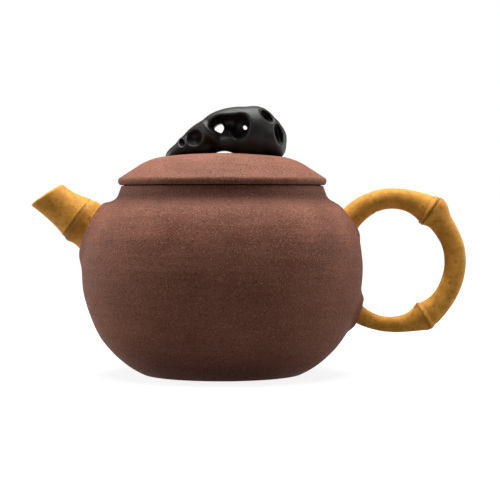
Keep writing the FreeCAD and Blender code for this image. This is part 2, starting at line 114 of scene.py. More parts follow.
# one vertex is drawn out along the outline in millimetres, then spun round the Z axis
def turnOutline(name, outline, steps):
    clearSelection()
    bpy.ops.mesh.primitive_plane_add(size=mm, location=(0, 0, 0))
    piece = nameIt(bpy.context.object, name)
    bpy.ops.object.mode_set(mode="EDIT")
    bpy.ops.mesh.select_mode(type="VERT")
    bpy.ops.mesh.select_all(action="SELECT")
    bpy.ops.mesh.merge(type="CENTER")
    bpy.ops.transform.translate(value=(outline[0][0] * mm, 0, outline[0][1] * mm))
    for last, point in zip(outline, outline[1:]):
        step = ((point[0] - last[0]) * mm, 0, (point[1] - last[1]) * mm)
        bpy.ops.mesh.extrude_region_move(TRANSFORM_OT_translate={"value": step})
    bpy.ops.mesh.select_all(action="SELECT")
    bpy.ops.mesh.spin(steps=steps, angle=math.tau, center=(0, 0, 0), axis=(0, 0, 1))
    bpy.ops.mesh.select_all(action="SELECT")
    bpy.ops.mesh.remove_doubles(threshold=0.002 * mm)
    bpy.ops.object.mode_set(mode="OBJECT")
    facesOutward(piece)
    return piece


# every vertex goes through a shaping function that works in millimetres
def reshape(piece, shaping):
    normals = [v.normal.copy() for v in piece.data.vertices]
    for v, normal in zip(piece.data.vertices, normals):
        v.co = shaping(v.co / mm, normal) * mm
    piece.data.update()


def cutAway(piece, tool):
    pick(piece)
    cutter = piece.modifiers.new("cutAway", "BOOLEAN")
    cutter.operation = "DIFFERENCE"
    cutter.solver = "EXACT"
    cutter.object = tool
    bpy.ops.object.modifier_apply(modifier=cutter.name)


def throwAway(piece):
    pick(piece)
    bpy.ops.object.delete()


def joinAll(pieces, name):
    pick(pieces[0])
    for piece in pieces:
        piece.select_set(True)
    bpy.ops.object.join()
    return nameIt(bpy.context.object, name)


def smoothFaces(piece, angle):
    pick(piece)
    bpy.ops.object.shade_smooth_by_angle(angle=math.radians(angle))


# how much darker the clay is at each vertex, from a function of its place in millimetres
def shadeNodes(piece, shading):
    layer = piece.data.attributes.new("nodeShade", "FLOAT", "POINT")
    for v, cell in zip(piece.data.vertices, layer.data):
        cell.value = shading(v.co / mm)


def handOver(piece, body, slotName, material, *nodes):
    piece.data.materials.clear()
    piece.data.materials.append(material)
    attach(piece, body)
    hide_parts(*nodes)
    print("made", piece.name, len(piece.data.polygons), "faces")


# from here to the clays: small helpers that place and link shader nodes
def nodeIn(tree, kind, **settings):
    node = tree.nodes.new(kind)
    for key, value in settings.items():
        setattr(node, key, value)
    return node


def mathNode(tree, operation, first, second, clamp=False):
    node = nodeIn(tree, "ShaderNodeMath", operation=operation, use_clamp=clamp)
    for socket, value in zip(node.inputs, (first, second)):
        if isinstance(value, (int, float)):
            socket.default_value = value
        else:
            tree.links.new(value, socket)
    return node.outputs[0]


def times(tree, first, second):
    return mathNode(tree, "MULTIPLY", first, second)


def mixColour(tree, factor, first, second):
    node = nodeIn(tree, "ShaderNodeMix", data_type="RGBA", blend_type="MIX")
    for socket, value in zip((node.inputs[0], node.inputs[6], node.inputs[7]), (factor, first, second)):
        if isinstance(value, (int, float, tuple)):
            socket.default_value = value
        else:
            tree.links.new(value, socket)
    return node.outputs[2]


def spread(tree, value, low, high, toLow, toHigh):
    node = nodeIn(tree, "ShaderNodeMapRange")
    for socket, number in zip(list(node.inputs)[1:5], (low, high, toLow, toHigh)):
        socket.default_value = number
    tree.links.new(value, node.inputs[0])
    return node.outputs[0]


def cloud(tree, vector, scale, detail):
    node = nodeIn(tree, "ShaderNodeTexNoise")
    node.inputs["Detail"].default_value = detail
    tree.links.new(vector, node.inputs["Vector"])
    tree.links.new(scale, node.inputs["Scale"])
    return node.outputs[0]


def newGroup(name, inputs, outputs):
    tree = bpy.data.node_groups.new(name, "ShaderNodeTree")
    for socketName, kind, value in inputs:
        socket = tree.interface.new_socket(socketName, in_out="INPUT", socket_type=kind)
        if value is not None:
            socket.default_value = value
    for socketName in outputs:
        tree.interface.new_socket(socketName, in_out="OUTPUT", socket_type="NodeSocketFloat")
    return tree, nodeIn(tree, "NodeGroupInput").outputs, nodeIn(tree, "NodeGroupOutput").inputs


def placeGroup(tree, group, **values):
    node = nodeIn(tree, "ShaderNodeGroup", node_tree=group)
    for key, value in values.items():
        if isinstance(value, (int, float)):
            node.inputs[key].default_value = value
        else:
            tree.links.new(value, node.inputs[key])
    return node.outputs


def newMaterial(name):
    material = bpy.data.materials.new(name)
    material.use_nodes = True
    tree = material.node_tree
    shader = tree.nodes["Principled BSDF"]
    place = nodeIn(tree, "ShaderNodeTexCoord").outputs["Object"]
    return material, tree, shader, place


def addBump(tree, shader, height, clay):
    bump = nodeIn(tree, "ShaderNodeBump")
    bump.inputs["Strength"].default_value = clay["bump"]
    bump.inputs["Distance"].default_value = clay["bumpDepth"] * mm
    tree.links.new(height, bump.inputs["Height"])
    tree.links.new(bump.outputs[0], shader.inputs["Normal"])


# grains of sand in clay: some cells of a cell pattern hold a grain, each of its own size and tone
grain = {
    "raggedScale": 1.7, "raggedLeast": 0.5, "sizeLeast": 0.35, "softEdge": 0.6,
    "toneLeast": 0.4, "toneSpan": 0.6,
}


def makeGrains():
    tree, given, result = newGroup("clayGrains", [
        ("Vector", "NodeSocketVector", None), ("Scale", "NodeSocketFloat", 1000.0),
        ("Share", "NodeSocketFloat", 0.3), ("Size", "NodeSocketFloat", 0.3)], ["Mask"])
    ragged = cloud(tree, given["Vector"], times(tree, given["Scale"], grain["raggedScale"]), 1)
    cells = nodeIn(tree, "ShaderNodeTexVoronoi", feature="F1")
    tree.links.new(given["Vector"], cells.inputs["Vector"])
    tree.links.new(given["Scale"], cells.inputs["Scale"])
    chance = nodeIn(tree, "ShaderNodeSeparateColor")
    tree.links.new(cells.outputs["Color"], chance.inputs[0])
    held = mathNode(tree, "LESS_THAN", chance.outputs[0], given["Share"])
    radius = times(tree, given["Size"], mathNode(tree, "ADD", chance.outputs[1], grain["sizeLeast"]))
    radius = times(tree, radius, mathNode(tree, "ADD", ragged, grain["raggedLeast"]))
    inside = mathNode(tree, "SUBTRACT", radius, cells.outputs["Distance"])
    soft = mathNode(tree, "DIVIDE", inside, times(tree, radius, grain["softEdge"]), clamp=True)
    fired = mathNode(tree, "ADD", times(tree, chance.outputs[2], grain["toneSpan"]), grain["toneLeast"])
    tree.links.new(times(tree, times(tree, held, soft), fired), result["Mask"])
    return tree


# slow patches of tone, level wiping marks and the fine tooth of fired clay
def makeClayTone():
    tree, given, result = newGroup("clayTone", [
        ("Vector", "NodeSocketVector", None), ("Patch", "NodeSocketFloat", 60.0),
        ("Wipe", "NodeSocketFloat", 300.0), ("Tooth", "NodeSocketFloat", 2600.0)],
        ["Patches", "Wiping", "Tooth"])
    level = nodeIn(tree, "ShaderNodeMapping")
    level.inputs["Scale"].default_value = (0.07, 0.07, 1)
    tree.links.new(given["Vector"], level.inputs["Vector"])
    tree.links.new(cloud(tree, given["Vector"], given["Patch"], 4), result["Patches"])
    tree.links.new(cloud(tree, level.outputs[0], given["Wipe"], 3), result["Wiping"])
    tree.links.new(cloud(tree, given["Vector"], given["Tooth"], 2), result["Tooth"])
    return tree


clayGrains = makeGrains()
clayTone = makeClayTone()
roughFrom, roughTo = 0.3, 0.7  # the part of the slow patches that roughness follows


# what the three clays share: shine, tone and roughness
def startClay(name, clay):
    material, tree, shader, place = newMaterial(name)
    shader.inputs["Specular IOR Level"].default_value = clay["shine"]
    tone = placeGroup(tree, clayTone, Vector=place, Patch=clay["patch"], Wipe=clay["wipe"],
                      Tooth=clay["tooth"])
    rough = spread(tree, tone["Patches"], roughFrom, roughTo, clay["roughLow"], clay["roughHigh"])
    tree.links.new(rough, shader.inputs["Roughness"])
    return material, tree, shader, place, tone


def toneColour(tree, value, clay):
    share = spread(tree, value, clay["toneLow"], clay["toneHigh"], 0, 1)
    return mixColour(tree, share, clay["deep"], clay["pale"])


# one kind of grain over a colour: gives the new colour, and the mask of the grains
def sprinkle(tree, place, colour, kind, tint):
    mask = placeGroup(tree, clayGrains, Vector=place, Scale=kind["scale"], Share=kind["share"],
                      Size=kind["size"])["Mask"]
    return mixColour(tree, times(tree, mask, kind["mix"]), colour, tint), mask


# the shade kept at a piece's vertices, over a colour
def shadeOver(tree, colour, tint):
    shade = nodeIn(tree, "ShaderNodeAttribute", attribute_name="nodeShade")
    return mixColour(tree, shade.outputs["Fac"], colour, tint)


purple = {
    "deep": (0.165, 0.061, 0.039, 1), "pale": (0.226, 0.091, 0.060, 1),
    # seat is the near-black colour that the vertex shade layer mixes in, as painted shade under the lid's rim
    # and on the neck
    "sand": (0.47, 0.30, 0.20, 1), "dark": (0.062, 0.026, 0.020, 1), "seat": (0.012, 0.005, 0.0035, 1),
    "patch": 85.0, "wipe": 600.0, "tooth": 1500.0,
    "patchShare": 0.7, "wipeShare": 0.3, "toneLow": 0.37, "toneHigh": 0.63,
    "sooty": {"scale": 1350.0, "share": 0.70, "size": 0.46, "mix": 0.82},
    "fine": {"scale": 2300.0, "share": 0.80, "size": 0.44, "mix": 0.55},
    "coarse": {"scale": 1400.0, "share": 0.26, "size": 0.26, "mix": 0.6},
    "roughLow": 0.64, "roughHigh": 0.80, "shine": 0.09,
    "toothHeight": 0.55, "grainHeight": 0.35, "wipeHeight": 0.4, "bump": 1.0, "bumpDepth": 0.26,
}


def makePurpleClay():
    material, tree, shader, place, tone = startClay("purpleClay", purple)
    mixed = mathNode(tree, "ADD", times(tree, tone["Patches"], purple["patchShare"]),
                     times(tree, tone["Wiping"], purple["wipeShare"]))
    colour = toneColour(tree, mixed, purple)
    colour = sprinkle(tree, place, colour, purple["sooty"], purple["dark"])[0]
    colour = sprinkle(tree, place, colour, purple["fine"], purple["sand"])[0]
    colour, coarse = sprinkle(tree, place, colour, purple["coarse"], purple["sand"])
    tree.links.new(shadeOver(tree, colour, purple["seat"]), shader.inputs["Base Color"])
    height = mathNode(tree, "ADD", times(tree, tone["Tooth"], purple["toothHeight"]),
                      times(tree, coarse, purple["grainHeight"]))
    height = mathNode(tree, "ADD", height, times(tree, tone["Wiping"], purple["wipeHeight"]))
    addBump(tree, shader, height, purple)
    return material


yellow = {
    "deep": (0.54, 0.240, 0.033, 1), "pale": (0.74, 0.345, 0.057, 1),
    # groove is the darker colour that the vertex shade layer mixes in at the handle's nodes, and as painted
    # shade below the spout's node
    "speck": (0.19, 0.074, 0.012, 1), "groove": (0.22, 0.088, 0.016, 1),
    "patch": 330.0, "wipe": 520.0, "tooth": 2600.0, "toneLow": 0.34, "toneHigh": 0.66,
    "dust": {"scale": 1350.0, "share": 0.8, "size": 0.44, "mix": 0.32},
    "specks": {"scale": 560.0, "share": 0.8, "size": 0.40, "mix": 0.5},
    "roughLow": 0.56, "roughHigh": 0.70, "shine": 0.12,
    "toothHeight": 0.5, "speckDepth": 0.4, "bump": 0.3, "bumpDepth": 0.10,
}


def makeYellowClay():
    material, tree, shader, place, tone = startClay("yellowClay", yellow)
    colour = toneColour(tree, tone["Patches"], yellow)
    colour = sprinkle(tree, place, colour, yellow["dust"], yellow["speck"])[0]
    colour, specks = sprinkle(tree, place, colour, yellow["specks"], yellow["speck"])
    tree.links.new(shadeOver(tree, colour, yellow["groove"]), shader.inputs["Base Color"])
    height = mathNode(tree, "SUBTRACT", times(tree, tone["Tooth"], yellow["toothHeight"]),
                      times(tree, specks, yellow["speckDepth"]))
    addBump(tree, shader, height, yellow)
    return material


black = {
    "deep": (0.0066, 0.0055, 0.0052, 1), "pale": (0.0150, 0.0127, 0.0121, 1),
    "sand": (0.060, 0.046, 0.040, 1),
    "patch": 160.0, "wipe": 400.0, "tooth": 2400.0, "toneLow": 0.34, "toneHigh": 0.66,
    "grit": {"scale": 1800.0, "share": 0.2, "size": 0.3, "mix": 0.4},
    "roughLow": 0.40, "roughHigh": 0.54, "shine": 0.24, "bump": 0.25, "bumpDepth": 0.08,
}


def makeBlackClay():
    material, tree, shader, place, tone = startClay("blackClay", black)
    colour = toneColour(tree, tone["Patches"], black)
    colour = sprinkle(tree, place, colour, black["grit"], black["sand"])[0]
    tree.links.new(colour, shader.inputs["Base Color"])
    addBump(tree, shader, tone["Tooth"], black)
    return material


purpleClay = makePurpleClay()
yellowClay = makeYellowClay()
blackClay = makeBlackClay()
print("clays mixed")

# pot: wall, base, shoulder and neck in one turned skin, with clay drawn up round the three roots
pot = {
    "steps": 288, "foot": (26.5, 0), "hipEnd": (42.66, 15.9), "sideEnd": (45.96, 43.08),
    "shoulderEnd": (38.71, 56.01), "mouthTop": 62.4, "mouthRadius": 30.6, "neckTop": 33.7,
    "neckLine": [(38.71, 56.01), (37.3, 56.95), (36.0, 57.66), (35.2, 58.35), (34.7, 59.1), (34.37, 59.9),
                 (34.0, 61.0), (33.7, 61.8)],
    "lipRoll": 0.6, "innerRoll": 0.5, "hipBow": 32.4, "sideBow": 44, "shoulderBow": 24,
    "wall": 3.2, "floor": 3.4, "floorRadius": 26.2, "ceiling": 53.2, "ceilingRadius": 37, "ceilingRoll": 1,
    "hipInner": (39.76, 17.25), "sideInner": (42.82, 42.46), "smoothAngle": 50,
    # clay round a root: how far off the bamboo its crest is, its inner width, and what counts as the far side
    "crest": 0.5, "crestInner": 1.1, "farSide": -400,
    # the uneven surface that beating leaves, and where it fades out
    "middle": 32, "shapeFrom": 0.1, "shapeTo": 61, "waver": 0.26, "waverFrom": 0.5, "waverTo": 57,
    "waverFade": 6, "waverGrain": (0.045, 0.045, 0.13), "waverFiner": 2.3,
    "waverMean": 0.5, "waverBroad": 0.45, "waverSmall": 0.3,
    # painted shade on the neck under the lid's rim: how strong, where it rises and falls, and the radius
    # inside which none is painted
    "neckShade": 0.4, "neckShadeFrom": 54.9, "neckShadeRise": 2.2, "neckShadeTo": 61.8, "neckShadeFall": 2.6, "neckShadeInner": 31.6,
}
spoutJoint = Vector((-48.55, 0, 51.9))
spoutRise = math.radians(37)
spoutOut = Vector((-math.cos(spoutRise), 0, math.sin(spoutRise)))
spoutUp = Vector((math.sin(spoutRise), 0, math.cos(spoutRise)))
# where the bamboo leaves the belly: a point and the direction of its axis, and its radius, then the
# lip's height, its reach over and under the bamboo, and the share of the height that is left on top
roots = [
    {"at": spoutJoint - 6 * spoutOut, "along": spoutOut, "radius": 8.0,
     "lip": 1.25, "above": 1.8, "below": 3.1, "fadeAbove": 0.85},
    {"at": Vector((42.2, 0, 50.6)), "along": Vector((0.61, 0, 0.79)), "radius": 4.3,
     "lip": 0.75, "above": 1.6, "below": 2.0, "fadeAbove": 0.25},
    {"at": Vector((44.4, 0, 20.6)), "along": Vector((0.80, 0, -0.60)), "radius": 3.5,
     "lip": 1.6, "above": 2.0, "below": 2.6, "fadeAbove": 1.0},
]


def potOutline():
    top = pot["mouthTop"]
    roll = pot["lipRoll"]
    inner = pot["innerRoll"]
    neck = pot["neckTop"]
    mouth = pot["mouthRadius"]
    wall = pot["wall"]
    ceiling = pot["ceiling"]
    corner = pot["ceilingRoll"]
    ceilingEdge = (pot["ceilingRadius"], ceiling)
    floorEdge = (pot["floorRadius"], pot["floor"])
    points = [(0, 0)] + runPoints((0, 0), pot["foot"], 12)
    points += bowPoints(pot["foot"], pot["hipEnd"], pot["hipBow"], 38)
    points += bowPoints(pot["hipEnd"], pot["sideEnd"], pot["sideBow"], 44)
    points += bowPoints(pot["sideEnd"], pot["shoulderEnd"], pot["shoulderBow"], 28)
    points += throughPoints(pot["neckLine"], 4)[1:]
    points += bowPoints((neck, top - roll), (neck - roll, top), roll, 4)
    points += runPoints((neck - roll, top), (mouth + inner, top), 3)
    points += bowPoints((mouth + inner, top), (mouth, top - inner), inner, 4)
    points += runPoints((mouth, top - inner), (mouth, ceiling + corner), 5)
    points += bowPoints((mouth, ceiling + corner), (mouth + corner, ceiling), -corner, 4)
    points += runPoints((mouth + corner, ceiling), ceilingEdge, 3)
    points += bowPoints(ceilingEdge, pot["sideInner"], wall - pot["shoulderBow"], 8)
    points += bowPoints(pot["sideInner"], pot["hipInner"], wall - pot["sideBow"], 14)
    points += bowPoints(pot["hipInner"], floorEdge, wall - pot["hipBow"], 10)
    points += runPoints(floorEdge, (0, pot["floor"]), 6)
    return points


def lipHeight(place):
    best = 0
    for root in roots:
        away = place - root["at"]
        if away.x * root["at"].x < pot["farSide"]:
            continue
        across = away - away.dot(root["along"]) * root["along"]
        past = across.length - root["radius"] - pot["crest"]
        upper = ease(0.5 + across.z / across.length)  # 1 over the root, 0 under it
        reach = root["below"] + (root["above"] - root["below"]) * upper
        height = root["lip"] * (1 + (root["fadeAbove"] - 1) * upper)
        best = max(best, height * bell(past, reach if past > 0 else pot["crestInner"]))
    return best


def shapePot(place, normal):
    outward = normal.dot(Vector((place.x, place.y, place.z - pot["middle"])))
    if outward < 0 or place.z > pot["shapeTo"] or place.z < pot["shapeFrom"]:
        return place
    fade = ease((pot["waverTo"] - place.z) / pot["waverFade"])
    fade *= ease((place.z - pot["waverFrom"]) / pot["waverFade"])
    spot = Vector([value * size for value, size in zip(place, pot["waverGrain"])])
    dent = pot["waverMean"] + pot["waverBroad"] * noise.noise(spot)
    dent += pot["waverSmall"] * noise.noise(spot * pot["waverFiner"])
    return place + normal * (lipHeight(place) - fade * pot["waver"] * dent)


# painted shade on the neck and in the hollow between neck and shoulder, under the lid's rim
def neckPaintedShade(place):
    if place.xy.length < pot["neckShadeInner"]:
        return 0
    rise = ease((place.z - pot["neckShadeFrom"]) / pot["neckShadeRise"])
    return pot["neckShade"] * rise * ease((pot["neckShadeTo"] - place.z) / pot["neckShadeFall"])


def makePot():
    piece = turnOutline("pot_skin", potOutline(), pot["steps"])
    reshape(piece, shapePot)
    shadeNodes(piece, neckPaintedShade)
    smoothFaces(piece, pot["smoothAngle"])
    return piece


potSkin = makePot()

# strainer: a ring of holes and one in the middle, through the wall behind the spout
strainer = {"holeRadius": 0.8, "ringRadius": 2.5, "count": 6, "depth": 16, "sides": 24}


def makeStrainer():
    places = [(0, 0)]
    for i in range(strainer["count"]):
        a = math.tau * i / strainer["count"]
        places.append((strainer["ringRadius"] * math.cos(a), strainer["ringRadius"] * math.sin(a)))
    pins = []
    for up, side in places:
        clearSelection()
        middle = spoutJoint - spoutOut * (strainer["depth"] / 2) + spoutUp * up + Vector((0, side, 0))
        bpy.ops.mesh.primitive_cylinder_add(vertices=strainer["sides"], radius=strainer["holeRadius"] * mm,
                                            depth=strainer["depth"] * mm, location=middle * mm,
                                            rotation=(0, spoutRise - math.pi / 2, 0))
        pins.append(bpy.context.object)
    return joinAll(pins, "strainerPins")


strainerPins = makeStrainer()
cutAway(potSkin, strainerPins)
throwAway(strainerPins)
handOver(potSkin, "pot", "purple_clay", purpleClay, "belly_wall", "base_disc", "cover_disc", "neck_ring",
         "spout_collar", "handle_top_collar", "handle_lower_collar")

# the heart of the pot, half a wall thick under the skin, trims whatever is stuck on
core = {
    "steps": 128, "inset": 1.7, "foot": (24, 1.7), "hipEnd": (41.12, 16.62), "sideEnd": (44.29, 42.75),
    "shoulderEnd": (37.2, 55.1),
}


def makeCore():
    outline = [(0, core["foot"][1]), core["foot"]]
    outline += bowPoints(core["foot"], core["hipEnd"], pot["hipBow"] - core["inset"], 16)
    outline += bowPoints(core["hipEnd"], core["sideEnd"], pot["sideBow"] - core["inset"], 18)
    outline += bowPoints(core["sideEnd"], core["shoulderEnd"], pot["shoulderBow"] - core["inset"], 10)
    outline += [(0, core["shoulderEnd"][1])]
    return turnOutline("potCore", outline, core["steps"])


potCore = makeCore()

# spout: two bamboo lengths turned on the spout's own axis, with the node between them at 0
spout = {
    "steps": 96, "bore": 3.8, "mouthBore": 4.3, "boreWidens": 5, "length": 12.6, "lipRoll": 0.85,
    "tip": [(7.68, 0.03), (7.64, 0.22), (7.53, 0.45), (7.38, 0.9), (7.1, 1.8), (6.8, 2.9),
            (6.54, 4.1), (6.3, 5.6), (6.13, 7.2), (6.05, 8.8), (6.0, 10.4), (6.0, 11.75)],
    "root": [(9.2, -13), (8.7, -10.2), (8.2, -7.8), (7.92, -6.2), (7.84, -5.0), (7.92, -3.9),
             (8.1, -3.0), (8.19, -2.3), (8.1, -1.7), (7.86, -1.1), (7.66, -0.6), (7.64, -0.25),
             (7.68, -0.03)],
    "seam": 0.02, "seamRadius": 6.6, "smoothAngle": 55,
    "mouthTilt": 19, "slantFrom": 2.5, "slantRun": 9.1,
    "rootLift": 0.33, "liftFrom": -1.0, "liftRun": 3.5,
    "waver": 0.14, "waverOffset": (30, 0, 0), "waverOutside": 5,
    "shade": 0.8, "shadeTop": -0.15, "shadeTopRun": 0.3, "shadeLow": -3.1, "shadeLowRun": 1.6,
    "shadeUpper": 7.5, "shadeUpperRun": 5,
}
bamboo = {"grain": 0.16, "finer": 0.4, "mean": 0.5, "broad": 0.5, "small": 0.3}


def bambooWaver(place, amount):
    broad = bamboo["broad"] * noise.noise(place * bamboo["grain"])
    return amount * (bamboo["mean"] + broad + bamboo["small"] * noise.noise(place * bamboo["finer"]))


def slantMouth(place):
    share = ease((place.z - spout["slantFrom"]) / spout["slantRun"])
    return place.z - place.x * math.tan(math.radians(spout["mouthTilt"])) * share


def placeOnSpout(place, normal):
    out = place.xy.length
    thin = 0
    if out > spout["waverOutside"]:
        thin = bambooWaver(place + Vector(spout["waverOffset"]), spout["waver"]) / out
    lift = spout["rootLift"] * ease((spout["liftFrom"] - place.z) / spout["liftRun"])
    across = place.x * (1 - thin) + lift
    side = Vector((0, place.y * (1 - thin), 0))
    return spoutJoint + spoutOut * slantMouth(place) + spoutUp * across + side


# painted shade just below the node, fading out towards the lit top
def rootShade(place):
    value = spout["shade"] * ease((spout["shadeTop"] - place.z) / spout["shadeTopRun"])
    value *= ease((place.z - spout["shadeLow"]) / spout["shadeLowRun"])
    return value * ease((spout["shadeUpper"] - place.x) / spout["shadeUpperRun"])


def makeSpoutTip():
    roll = spout["lipRoll"]
    length = spout["length"]
    bore = spout["bore"]
    seam = spout["seam"]
    lipFoot = spout["tip"][-1]
    lipTop = (lipFoot[0] - roll, length)
    mouth = (spout["mouthBore"], length - roll)
    outline = [(bore, seam), (spout["seamRadius"], seam)] + throughPoints(spout["tip"], 4)
    outline += bowPoints(lipFoot, lipTop, roll, 6) + bowPoints(lipTop, mouth, roll, 5)
    outline += runPoints(mouth, (bore, spout["boreWidens"]), 6)
    outline += runPoints((bore, spout["boreWidens"]), (bore, seam), 4)
    piece = turnOutline("spout_tip", outline, spout["steps"])
    reshape(piece, placeOnSpout)
    smoothFaces(piece, spout["smoothAngle"])
    return piece


def makeSpoutRoot():
    bore = spout["bore"]
    seam = -spout["seam"]
    foot = spout["root"][0]
    outline = [(bore, seam), (bore, foot[1]), foot]
    outline += throughPoints(spout["root"], 4)[1:] + [(spout["seamRadius"], seam), (bore, seam)]
    piece = turnOutline("spout_root", outline, spout["steps"])
    shadeNodes(piece, rootShade)
    reshape(piece, placeOnSpout)
    cutAway(piece, potCore)
    smoothFaces(piece, spout["smoothAngle"])
    return piece


spoutTip = makeSpoutTip()
handOver(spoutTip, "pot", "yellow_clay", yellowClay, "spout_tip_internode")
spoutRoot = makeSpoutRoot()
handOver(spoutRoot, "pot", "yellow_clay", yellowClay, "spout_root_internode")

# handle: three bamboo lengths, turned straight and then bent round their arcs
handle = {
    "steps": 56, "rings": 90, "gripCentre": (56.6, 37.1), "gripBow": 21, "waver": 0.22, "waverLeast": 2,
    "grooveDepth": 0.34, "grooveWidth": 0.32,
    "beadHeight": 0.28, "beadAt": 0.8, "beadWidth": 0.5, "startBead": 0.35,
    "ringDepth": 0.1, "ringAt": 1.9, "ringWidth": 0.35, "scarDepth": 0.16, "scarWidth": 0.4,
    "kneeWidth": 2.2, "kneeSide": 5, "smoothAngle": 60,
    "nodeShade": 0.6, "nodeShadeWidth": 0.5, "ringShade": 0.12, "ringShadeWidth": 0.4,
}
# angles are round each length's own arc, which meets the grip's at the node; widths are across the
# bamboo: the waist, then how much and how sharply each end flares; a dip draws the bamboo in
# towards the arc's centre, and a knee swells its outer side
handleTop = {
    "bow": 19.8, "start": 146, "end": 53.3, "node": 53.3, "waist": 6.4, "startFlare": 2.3, "startPower": 2.2,
    "endFlare": 4.6, "endPower": 5.5, "scar": 0.374, "dip": -0.4, "dipAt": 0.45, "dipWidth": 0.3,
}
handleGrip = {
    "bow": 21, "start": 53.3, "end": -60.4, "node": 53.3, "waist": 7.3, "startFlare": 4.0, "startPower": 12,
    "endFlare": 3.1, "endPower": 10, "faintEnd": 0.4, "dip": 0.25, "dipAt": 0.2, "dipWidth": 0.11,
    "knee": 1.0, "kneeAt": 2.2,
}
handleLower = {
    "bow": 20.7, "start": -60.4, "end": -132, "node": -60.4, "waist": 5.0, "startFlare": 5.1, "startPower": 5,
    "endFlare": 2.2, "endPower": 4, "shallow": 0.4,
}


def bambooOutline(part, length, startNode, endNode):
    points = [(0, 0)]
    rings = handle["rings"]
    faint = part.get("faintEnd", 1)
    for i in range(rings + 1):
        t = ease(i / rings) * 0.5 + 0.5 * i / rings  # closer together near the ends
        width = part["waist"] + part["startFlare"] * (1 - t) ** part["startPower"]
        width += part["endFlare"] * t ** part["endPower"]
        z = t * length
        radius = width / 2
        for atNode, away, deep, bead in ((startNode, z, part.get("shallow", 1), handle["startBead"]),
                                         (endNode, length - z, faint, faint)):
            if atNode:  # a groove with a bead beside it
                radius -= handle["grooveDepth"] * deep * bell(away, handle["grooveWidth"])
                radius += handle["beadHeight"] * bead * bell(away - handle["beadAt"], handle["beadWidth"])
        if endNode:  # faint ring before the bead
            radius -= handle["ringDepth"] * bell(length - z - handle["ringAt"], handle["ringWidth"])
        if part.get("scar"):
            radius -= handle["scarDepth"] * bell((t - part["scar"]) * length, handle["scarWidth"])
        points.append((radius, z))
    return points + [(0, length)]


def makeBamboo(name, part, startNode, endNode, trim):
    swing = math.radians(part["end"] - part["start"])
    length = abs(swing) * part["bow"]
    node = math.radians(part["node"])
    reach = handle["gripBow"] - part["bow"]
    centre = Vector((handle["gripCentre"][0] + reach * math.cos(node), 0,
                     handle["gripCentre"][1] + reach * math.sin(node)))

    def bend(place, normal):
        a = math.radians(part["start"]) + swing * place.z / length
        thin = 1 - bambooWaver(place + centre, handle["waver"]) / max(place.xy.length, handle["waverLeast"])
        out = part["bow"]
        if part.get("dip"):
            out -= part["dip"] * bell(place.z / length - part["dipAt"], part["dipWidth"])
        if part.get("knee"):
            swell = part["knee"] * bell(place.z - part["kneeAt"], handle["kneeWidth"])
            out += swell * ease(place.x / handle["kneeSide"])
        out += place.x * thin
        return centre + Vector((out * math.cos(a), place.y * thin, out * math.sin(a)))

    def shading(place):
        value = 0
        left = length - place.z
        if startNode:
            value += handle["nodeShade"] * bell(place.z, handle["nodeShadeWidth"])
        if endNode:
            value += handle["nodeShade"] * bell(left, handle["nodeShadeWidth"])
            value += handle["ringShade"] * bell(left - handle["ringAt"], handle["ringShadeWidth"])
        return min(value, 1)

    piece = turnOutline(name, bambooOutline(part, length, startNode, endNode), handle["steps"])
    shadeNodes(piece, shading)
    reshape(piece, bend)
    facesOutward(piece)
    if trim:
        cutAway(piece, potCore)
    smoothFaces(piece, handle["smoothAngle"])
    return piece


topBamboo = makeBamboo("handle_top", handleTop, False, True, True)
handOver(topBamboo, "pot", "yellow_clay", yellowClay, "handle_top_internode")
gripBamboo = makeBamboo("handle_grip", handleGrip, True, True, False)
handOver(gripBamboo, "pot", "yellow_clay", yellowClay, "handle_grip_internode")
lowerBamboo = makeBamboo("handle_lower", handleLower, True, False, True)
handOver(lowerBamboo, "pot", "yellow_clay", yellowClay, "handle_lower_internode")
throwAway(potCore)

# lid: dome, rolled rim and flange in one turned skin
lid = {
    "steps": 256, "seat": 62.4, "rimRoll": 1.5, "domeFoot": (33.75, 65.2), "rimTop": (34.1, 65.0),
    "rimFoot": (33.95, 62.6), "ledge": 32.7, "slopeTop": (27.8, 69.05), "shoulderEnd": (19.9, 72.0),
    "top": 73.2, "shoulderBow": 20, "smoothAngle": 50,
    "flangeRadius": 30.3, "flangeBottom": 54.9, "flangeWall": 3.1, "flangeEdge": 0.8,
    "wall": 3.2, "insideRise": 1.2, "insideHip": 18, "hipDrop": 1.5, "hipBow": 18, "roofBow": 110,
    "holeRadius": 1.3, "holeX": 1.0, "holeDepth": 12, "holeSides": 32,
    "shadeFrom": 62.78, "shadeRun": 0.2, "shadeOutside": 32,
}


